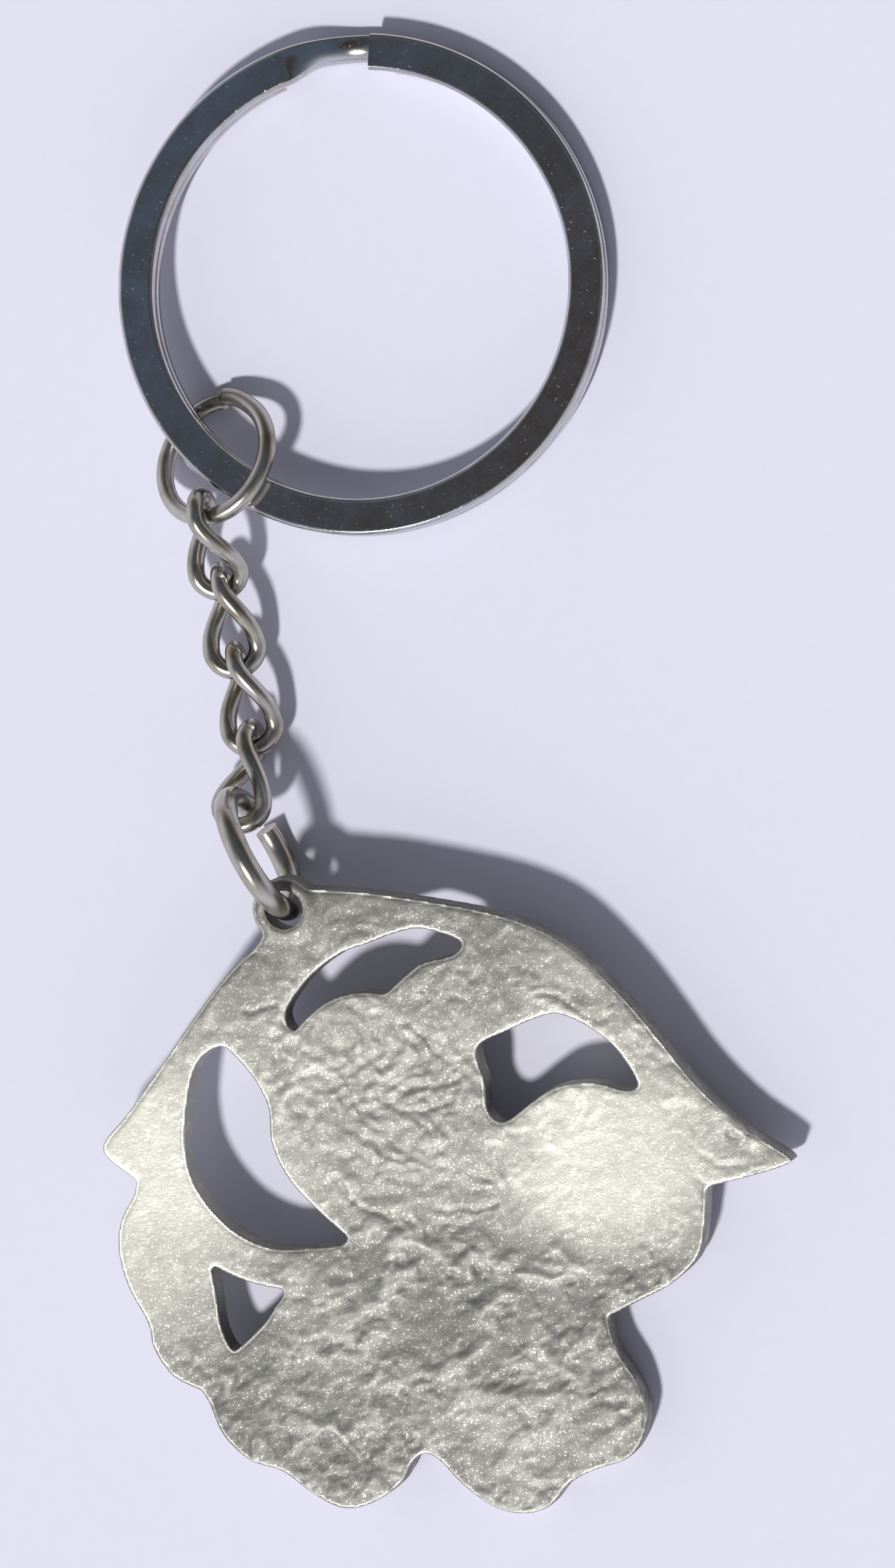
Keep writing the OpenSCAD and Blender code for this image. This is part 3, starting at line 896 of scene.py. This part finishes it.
paper_pale = (0.752, 0.745, 0.866, 1)
paper_low = (0.744, 0.737, 0.858, 1)
paper_roughness = 0.75
paper_gloss = 0.2
fibre_cells = 900
sheet_side = 3.0

paper, tree, shader, place = finish("paper", Roughness=paper_roughness)
shader.inputs["Specular IOR Level"].default_value = paper_gloss
fibre = noise(tree, place, fibre_cells, detail=3, roughness=0.6)
tree.links.new(ramp(tree, fibre, [(0.35, paper_low), (0.65, paper_pale)]), shader.inputs["Base Color"])
half = sheet_side / 2
table_z = solid_bounds[0][2]
corners = [(-half, -half, table_z), (half, -half, table_z), (half, half, table_z), (-half, half, table_z)]
sheet = bpy.data.meshes.new("table_sheet")
sheet.from_pydata(corners, [], [(0, 1, 2, 3)])
sheet.materials.append(paper)
table = bpy.data.objects.new("table_sheet", sheet)
bpy.context.collection.objects.link(table)

# Light: one lamp high up in front, a little to the left, and a plain room around the table for the metal to
# reflect. The room is pale in front and on the left, dim behind and on the right, and dim overhead.

lamp_from = Vector((-0.17, -0.61, 1.0))
lamp_energy = 2.65
lamp_angle = 6
lamp_colour = (1.0, 0.985, 0.96)
pale_wall = (-0.55, -0.83, 0.0)
wall_blend = (-0.6, 0.3)
# Colours of the room by height, from the level of the table to straight overhead.
overhead = [
    (0.960, (0.098, 0.135, 0.200, 1)),
    (0.972, (0.076, 0.062, 0.050, 1)),
]
dim_heights = [
    (0.0, (0.55, 0.53, 0.50, 1)),
    (0.14, (0.26, 0.24, 0.21, 1)),
    (0.36, (0.11, 0.10, 0.088, 1)),
    (0.50, (0.09, 0.085, 0.077, 1)),
    (0.90, (0.105, 0.13, 0.165, 1)),
]
pale_heights = [
    (0.0, (0.95, 0.96, 1.0, 1)),
    (0.20, (0.91, 0.92, 1.0, 1)),
    (0.60, (0.64, 0.66, 0.74, 1)),
    (0.90, (0.13, 0.15, 0.175, 1)),
]

lamp = bpy.data.lights.new("lamp", "SUN")
lamp.energy = lamp_energy
lamp.angle = math.radians(lamp_angle)
lamp.color = lamp_colour
lamp_holder = bpy.data.objects.new("lamp", lamp)
lamp_holder.rotation_euler = lamp_from.to_track_quat("Z", "Y").to_euler()
bpy.context.collection.objects.link(lamp_holder)

room = bpy.data.worlds.new("room")
room.use_nodes = True
bpy.context.scene.world = room
tree = room.node_tree
direction = tree.nodes.new("ShaderNodeTexCoord").outputs["Generated"]
upwards = wire(tree, "ShaderNodeSeparateXYZ", {"Vector": direction}).outputs["Z"]
dim_side = ramp(tree, upwards, dim_heights + overhead)
pale_side = ramp(tree, upwards, pale_heights + overhead)
side = aim(tree, "DOT_PRODUCT", direction, pale_wall)["Value"]
turned_to = between(tree, side, *wall_blend)
walls = wire(tree, "ShaderNodeMix", {"Factor": turned_to, 6: dim_side, 7: pale_side}, data_type="RGBA")
tree.links.new(walls.outputs[2], tree.nodes["Background"].inputs["Color"])
bpy.context.scene.view_settings.view_transform = "Standard"

# Camera: above the table, leaning a little to the right, as far away as keeps the rings round. Its lens
# frames the keychain as the photograph does.

view_distance = 450 * mm
view_centre = Vector((4.838, -29.772, 0)) * mm
lean_right = math.radians(16.2)
lean_up = math.radians(1.5)
photo_height_px = 2552
focal_px = 12240
sensor = 36
nearest_shown = 10 * mm

towards = Vector((math.tan(lean_right), math.tan(lean_up), 1)).normalized()
rightwards = Vector((0, 1, 0)).cross(towards).normalized()
view = bpy.data.cameras.new("camera")
view.sensor_fit = "AUTO"
view.sensor_width = sensor
view.lens = sensor * focal_px / photo_height_px
view.clip_start = nearest_shown
camera = bpy.data.objects.new("camera", view)
camera.matrix_world = standing(view_centre + view_distance * towards, rightwards, towards)
bpy.context.collection.objects.link(camera)
bpy.context.scene.camera = camera
